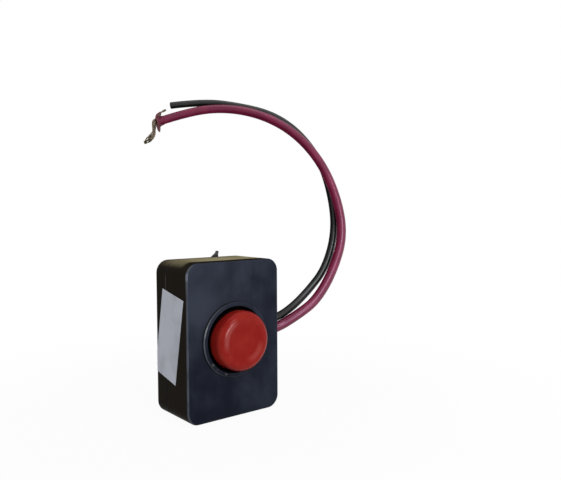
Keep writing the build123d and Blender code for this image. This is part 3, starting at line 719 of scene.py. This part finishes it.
class SWITCH_OT_leads(bpy.types.Operator):
    """Red and black leads, with the frayed strands, the torn insulation and the cut end"""

    bl_idname = "switch.leads"
    bl_label = "Leads"

    def execute(self, context):
        colours = context.scene.switch_colours
        sizes = context.scene.switch_sizes
        red = insulation("red_insulation_soft", colours.red_lead, 0.003, 0.72, (1.0, 0.58, 0.78))
        black = insulation("black_insulation_soft", colours.black_lead, 0.003, 0.44, (1.0, 1.0, 1.0))
        copper = copper_strand(colours)
        red_end = lead_end("red_lead", RED_RUN, sizes.red_diameter)
        black_end = lead_end("black_lead", BLACK_RUN, sizes.black_diameter)
        frayed = [self.strands(sizes, copper, *red_end), self.torn_sleeve(sizes, colours, red, *red_end)]
        cut = [self.cut_end(sizes, black, copper, *black_end)]
        lead_cord("red_lead_cord", "red_lead", RED_RUN, sizes.red_diameter,
                  "red_insulation", red)
        lead_cord("black_lead_cord", "black_lead", BLACK_RUN, sizes.black_diameter,
                  "black_insulation", black)
        return {"FINISHED"}

    def strands(self, sizes, copper, end, across, upright, outward):
        """Fine strands that leave the insulation as one twisted bundle, bend down and end in a tangle."""
        random = Random(11)
        curve = new_curve("frayed_strands", sizes.strand_diameter, 1, 4)
        inside = end - outward * STRAND_START
        guide = [inside, end + upright * 0.0006, end + outward * 0.0011 + upright * 0.0013]
        guide += [end + Vector(step) for step in STRAND_RUN]
        self.bundle(curve, random, guide, across, sizes.strand_count, BUNDLE_RADIUS, TANGLE_RADIUS)
        tail = [inside, end + upright * 0.0010] + [end + Vector(step) for step in TAIL_RUN]
        self.bundle(curve, random, tail, across, TAIL_STRANDS, TAIL_RADIUS, 0.0)
        mesh = as_mesh(curve)
        mesh.materials.append(copper.material)
        return box_piece("frayed_strands", mesh, "copper", "red_lead_strands")

    def bundle(self, curve, random, guide, across, count, width, tangle):
        """Adds strands that twist round a guide, now loose, now tight, and end short or in a tangle."""
        places = line_places(guide)
        golden = pi * (3 - 5 ** 0.5)
        for number in range(count):
            reach = width * ((number + 0.5) / count) ** 0.5
            points = []
            side = across
            for k in range(0, len(places), 4):
                share = k / (len(places) - 1)
                ahead = (places[min(k + 1, len(places) - 1)] - places[max(k - 1, 0)]).normalized()
                side = (side - ahead * side.dot(ahead)).normalized()
                angle = golden * number + 2.2 * share
                spread = reach * (1 + 0.45 * cos(4 * pi * (share - 0.36)))
                offset = side * cos(angle) * spread + ahead.cross(side) * sin(angle) * spread
                frizz = 0.3 * width * share
                stray = Vector([random.gauss(0, frizz) for _ in range(3)])
                points.append(places[k] + offset + stray)
            if number % 2:
                points = points[:len(points) - number % 3]
            elif tangle:
                points += [places[-1] + self.inside_ball(random, tangle) for _ in range(4)]
            add_line(curve, points)

    def inside_ball(self, random, radius):
        return Vector([random.uniform(-radius, radius) for _ in range(3)])

    def torn_sleeve(self, sizes, colours, red, end, across, upright, outward):
        """Split end of the red insulation: one lobe curls back above, and a longer one hangs below."""
        random = Random(4)
        inside = matt("torn_inside", colours.torn, tuple(0.7 * part for part in colours.torn), 0.5)
        sleeve = sizes.red_diameter / 2 + 0.00004
        curl = 0.0008
        top_reach = 0.0038
        low_reach = 0.0026
        shape = bmesh.new()
        angles = shape.verts.layers.float.new("angle")
        jags = shape.verts.layers.float.new("jag")
        bmesh.ops.create_circle(shape, segments=48, radius=sleeve)
        for vertex in shape.verts:
            vertex[angles] = vertex.co.to_2d().angle_signed(Vector((0, 1)))
            vertex[jags] = random.uniform(-0.00015, 0.00025)
        rim = shape.edges[:]
        bmesh.ops.translate(shape, vec=(0, 0, -0.0025), verts=shape.verts)
        steps = 16
        for step in range(steps + 1):
            made = bmesh.ops.extrude_edge_only(shape, edges=rim)["geom"]
            ring = {part for part in made if isinstance(part, bmesh.types.BMVert)}
            edges = [part for part in made if isinstance(part, bmesh.types.BMEdge)]
            rim = [edge for edge in edges if ring.issuperset(edge.verts)]
            for vertex in ring:
                top = self.lobe(vertex[angles], 0.0, 1.35)
                low = self.lobe(vertex[angles], pi, 1.1)
                reach = (0.0002 + vertex[jags] + top_reach * top ** 1.4 + low_reach * low) * step / steps
                limit = 0.3 + 2.6 * min(2 * top, 1.0) + 0.85 * min(2 * low, 1.0)
                turn = min(reach / curl, limit)
                straight = max(reach - curl * limit, 0.0)
                out = curl * (1 - cos(turn)) + straight * sin(limit)
                ahead = curl * sin(turn) + straight * cos(limit) - 0.0008 * top - 0.0003 * low
                radius = sleeve + out
                vertex.co = (radius * sin(vertex[angles]), radius * cos(vertex[angles]), ahead)
        bmesh.ops.transform(shape, matrix=end_matrix(end, across, upright, outward), verts=shape.verts)
        bmesh.ops.recalc_face_normals(shape, faces=shape.faces)
        mesh = finished_mesh("torn_insulation", shape, red, inside)
        torn = box_piece("torn_insulation", mesh, "red_insulation")
        wall = torn.modifiers.new("wall", "SOLIDIFY")
        wall.thickness = 0.0004
        wall.material_offset = 1
        self.smoothed(torn)
        return torn

    def lobe(self, angle, middle, half_width):
        """1 at the middle of a lobe, 0 beyond its half width."""
        off = abs((angle - middle + pi) % (2 * pi) - pi)
        return cos(pi / 2 * min(off / half_width, 1.0)) ** 0.6

    def smoothed(self, made):
        soft = made.modifiers.new("soft", "SUBSURF")
        soft.levels = 1
        soft.render_levels = 1

    def cut_end(self, sizes, black, copper, end, across, upright, outward):
        """Blunt end of the black lead: rounded insulation round the ends of seven strands."""
        radius = sizes.black_diameter / 2
        core = 0.00075
        strand = core / 3
        profile = [(radius + 0.00002, -0.0005), (radius + 0.00002, 0.00005), (radius - 0.0001, 0.00025),
                   (radius - 0.0003, 0.00033), (core + 0.00008, 0.00033), (core, 0.00026), (core, 0.0001)]
        shape = bmesh.new()
        corners = [shape.verts.new((reach, 0, height)) for reach, height in profile]
        lines = [shape.edges.new(pair) for pair in zip(corners, corners[1:])]
        bmesh.ops.spin(shape, geom=corners + lines, cent=(0, 0, 0), axis=(0, 0, 1), angle=2 * pi, steps=28,
                       use_merge=True)
        bmesh.ops.remove_doubles(shape, verts=shape.verts, dist=1e-6)
        bmesh.ops.recalc_face_normals(shape, faces=shape.faces)
        insulation_faces = set(shape.faces)
        for number in range(7):
            angle = number * pi / 3
            reach = 0.0 if number == 6 else 2 * strand
            place = Matrix.Translation((reach * cos(angle), reach * sin(angle), 0.00012))
            bmesh.ops.create_uvsphere(shape, u_segments=10, v_segments=6, radius=strand, matrix=place)
        for face in shape.faces:
            face.material_index = 0 if face in insulation_faces else 1
        bmesh.ops.transform(shape, matrix=end_matrix(end, across, upright, outward), verts=shape.verts)
        mesh = finished_mesh("black_lead_cut_end", shape, black, copper)
        return box_piece("black_lead_cut_end", mesh, "black_insulation")


class SWITCH_OT_box(bpy.types.Operator):
    """Finish of the case, the cover, the screws and the grommet"""

    bl_idname = "switch.box"
    bl_label = "Box"

    def execute(self, context):
        colours = context.scene.switch_colours
        black = moulded_black(colours)
        show("housing", black)
        show("back_cover", black)
        show("cover_screws", metal("zinc_screws", (0.50, 0.50, 0.50), (0.34, 0.33, 0.31), 0.35))
        show("lead_grommet", matt("rubber_black", (0.014, 0.014, 0.015), (0.024, 0.024, 0.025), 0.6))
        return {"FINISHED"}


class SWITCH_OT_button(bpy.types.Operator):
    """Finish of the cap"""

    bl_idname = "switch.button"
    bl_label = "Button"

    def execute(self, context):
        show("button_cap", cap_red(context.scene.switch_colours))
        return {"FINISHED"}


class SWITCH_OT_label(bpy.types.Operator):
    """Bare paper label, stuck across the seam and round the back edge"""

    bl_idname = "switch.label"
    bl_label = "Label"

    def execute(self, context):
        sizes = context.scene.switch_sizes
        edge = 0.0004
        from_front = 0.0111
        above_middle = 0.0014
        shape = bmesh.new()
        bmesh.ops.create_grid(shape, x_segments=36, y_segments=64, size=0.5)
        bmesh.ops.scale(shape, vec=(sizes.label_width, sizes.label_height, 1), verts=shape.verts)
        turn = Matrix.Rotation(sizes.label_tilt, 3, "Z")
        bmesh.ops.rotate(shape, cent=(0, 0, 0), matrix=turn, verts=shape.verts)
        place = (FRONT_Y + from_front, BUTTON_Z + above_middle, 0)
        bmesh.ops.translate(shape, vec=place, verts=shape.verts)
        whole = shape.verts[:] + shape.edges[:] + shape.faces[:]
        bmesh.ops.bisect_plane(shape, geom=whole, plane_co=(BACK_Y - edge + edge * pi / 2, 0, 0),
                               plane_no=(1, 0, 0), clear_outer=True)
        for vertex in shape.verts:
            vertex.co = self.on_wall(vertex.co.x, vertex.co.y, edge)
        bmesh.ops.reverse_faces(shape, faces=shape.faces)
        mesh = finished_mesh("label_sheet", shape, paper_white(context.scene.switch_colours))
        label = box_piece("label_sheet", mesh, "label_paper", "paper_label")
        paper = label.modifiers.new("paper", "SOLIDIFY")
        paper.thickness = 0.00005
        paper.offset = 1.0
        return {"FINISHED"}

    def on_wall(self, along, up, edge):
        """Place on the left wall, or round its back edge, of a point of the flat sheet."""
        wave = 0.5 + 0.5 * noise.noise(Vector((along, up, 0)) * 330)
        crease = max(0.0, 1 - abs(along - SEAM_Y) / 0.0004)
        lift = 0.00002 + 0.00004 * wave * (1 - crease)
        past = max(0.0, along - (BACK_Y - edge)) / edge
        if past == 0.0:
            return Vector((-WALL_X - lift, along, up))
        radius = edge + lift
        return Vector((-WALL_X + edge - radius * cos(past), BACK_Y - edge + radius * sin(past), up))


class SWITCH_OT_mechanism(bpy.types.Operator):
    """Return spring, and the finishes of the other pieces inside the box"""

    bl_idname = "switch.mechanism"
    bl_label = "Mechanism"

    def execute(self, context):
        steel = metal("spring_steel_bright", (0.56, 0.56, 0.58), (0.42, 0.41, 0.40), 0.25)
        brass = metal("rolled_brass", (0.70, 0.50, 0.22), (0.48, 0.33, 0.14), 0.30)
        silver = metal("contact_silver_satin", (0.80, 0.80, 0.78), (0.55, 0.53, 0.48), 0.30)
        zinc = metal("zinc_base_screws", (0.50, 0.50, 0.50), (0.36, 0.35, 0.33), 0.35)
        tin = metal("solder_tin", (0.60, 0.60, 0.60), (0.40, 0.40, 0.41), 0.35)
        nylon = matt("nylon_natural", (0.62, 0.60, 0.52), (0.70, 0.68, 0.60), 0.40)
        laminate = matt("brown_laminate", (0.20, 0.10, 0.045), (0.26, 0.14, 0.065), 0.45)
        show("plunger", nylon)
        show("retaining_clip", steel)
        show("contact_bridge", brass)
        show("bridge_contacts", silver)
        show("fixed_contacts", silver)
        show("contact_base", laminate)
        show("base_screws", zinc)
        show("upper_terminal", brass)
        show("lower_terminal", brass)
        show("solder_joints", tin)
        self.spring(context.scene.switch_sizes, steel)
        return {"FINISHED"}

    def spring(self, sizes, steel):
        """Coil between the bridge and the board, at one length: it does not shorten as the button goes in.
        """
        wire = sizes.spring_wire / 2
        radius = (SPRING_HIGH.x - SPRING_LOW.x) / 2 - wire
        height = SPRING_HIGH.y - SPRING_LOW.y - 2 * wire
        start = Matrix.Translation((BUTTON_X + radius, SPRING_LOW.y + wire, BUTTON_Z))
        steps = round(32 * sizes.spring_turns)
        shape = bmesh.new()
        bmesh.ops.create_circle(shape, cap_ends=True, segments=12, radius=wire, matrix=start)
        section = shape.verts[:] + shape.edges[:] + shape.faces[:]
        bmesh.ops.spin(shape, geom=section, cent=(BUTTON_X, 0, BUTTON_Z), axis=(0, 1, 0),
                       dvec=(0, height / steps, 0), angle=2 * pi * sizes.spring_turns, steps=steps)
        bmesh.ops.holes_fill(shape, edges=[edge for edge in shape.edges if edge.is_boundary])
        bmesh.ops.recalc_face_normals(shape, faces=shape.faces)
        mesh = finished_mesh("return_coil", shape, steel)
        coil = box_piece("return_coil", mesh, "spring_steel", "return_spring")
        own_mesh(coil)


OPERATORS = (
    SWITCH_OT_stage,
    SWITCH_OT_leads,
    SWITCH_OT_box,
    SWITCH_OT_button,
    SWITCH_OT_label,
    SWITCH_OT_mechanism,
)


class SWITCH_PT_panel(bpy.types.Panel):
    """Lists the pieces, their colours and their sizes"""

    bl_idname = "SWITCH_PT_panel"
    bl_label = "Pushbutton Switch"
    bl_space_type = "VIEW_3D"
    bl_region_type = "UI"
    bl_category = "Switch"

    def draw(self, context):
        column = self.layout.column()
        for operator in OPERATORS:
            column.operator(operator.bl_idname)
        scene = context.scene
        for group in (scene.switch_colours, scene.switch_sizes, scene.switch_studio):
            for name in group.bl_rna.properties.keys():
                if name not in ("rna_type", "name"):
                    column.prop(group, name)


CLASSES = (SwitchColours, SwitchSizes, SwitchStudio, *OPERATORS, SWITCH_PT_panel)


def register():
    for kind in CLASSES:
        bpy.utils.register_class(kind)
    bpy.types.Scene.switch_colours = PointerProperty(type=SwitchColours)
    bpy.types.Scene.switch_sizes = PointerProperty(type=SwitchSizes)
    bpy.types.Scene.switch_studio = PointerProperty(type=SwitchStudio)


def unregister():
    del bpy.types.Scene.switch_studio
    del bpy.types.Scene.switch_sizes
    del bpy.types.Scene.switch_colours
    for kind in reversed(CLASSES):
        bpy.utils.unregister_class(kind)


def main():
    register()
    bpy.ops.switch.stage()
    bpy.ops.switch.leads()
    bpy.ops.switch.box()
    bpy.ops.switch.button()
    bpy.ops.switch.label()
    bpy.ops.switch.mechanism()


if __name__ == "__main__":
    main()
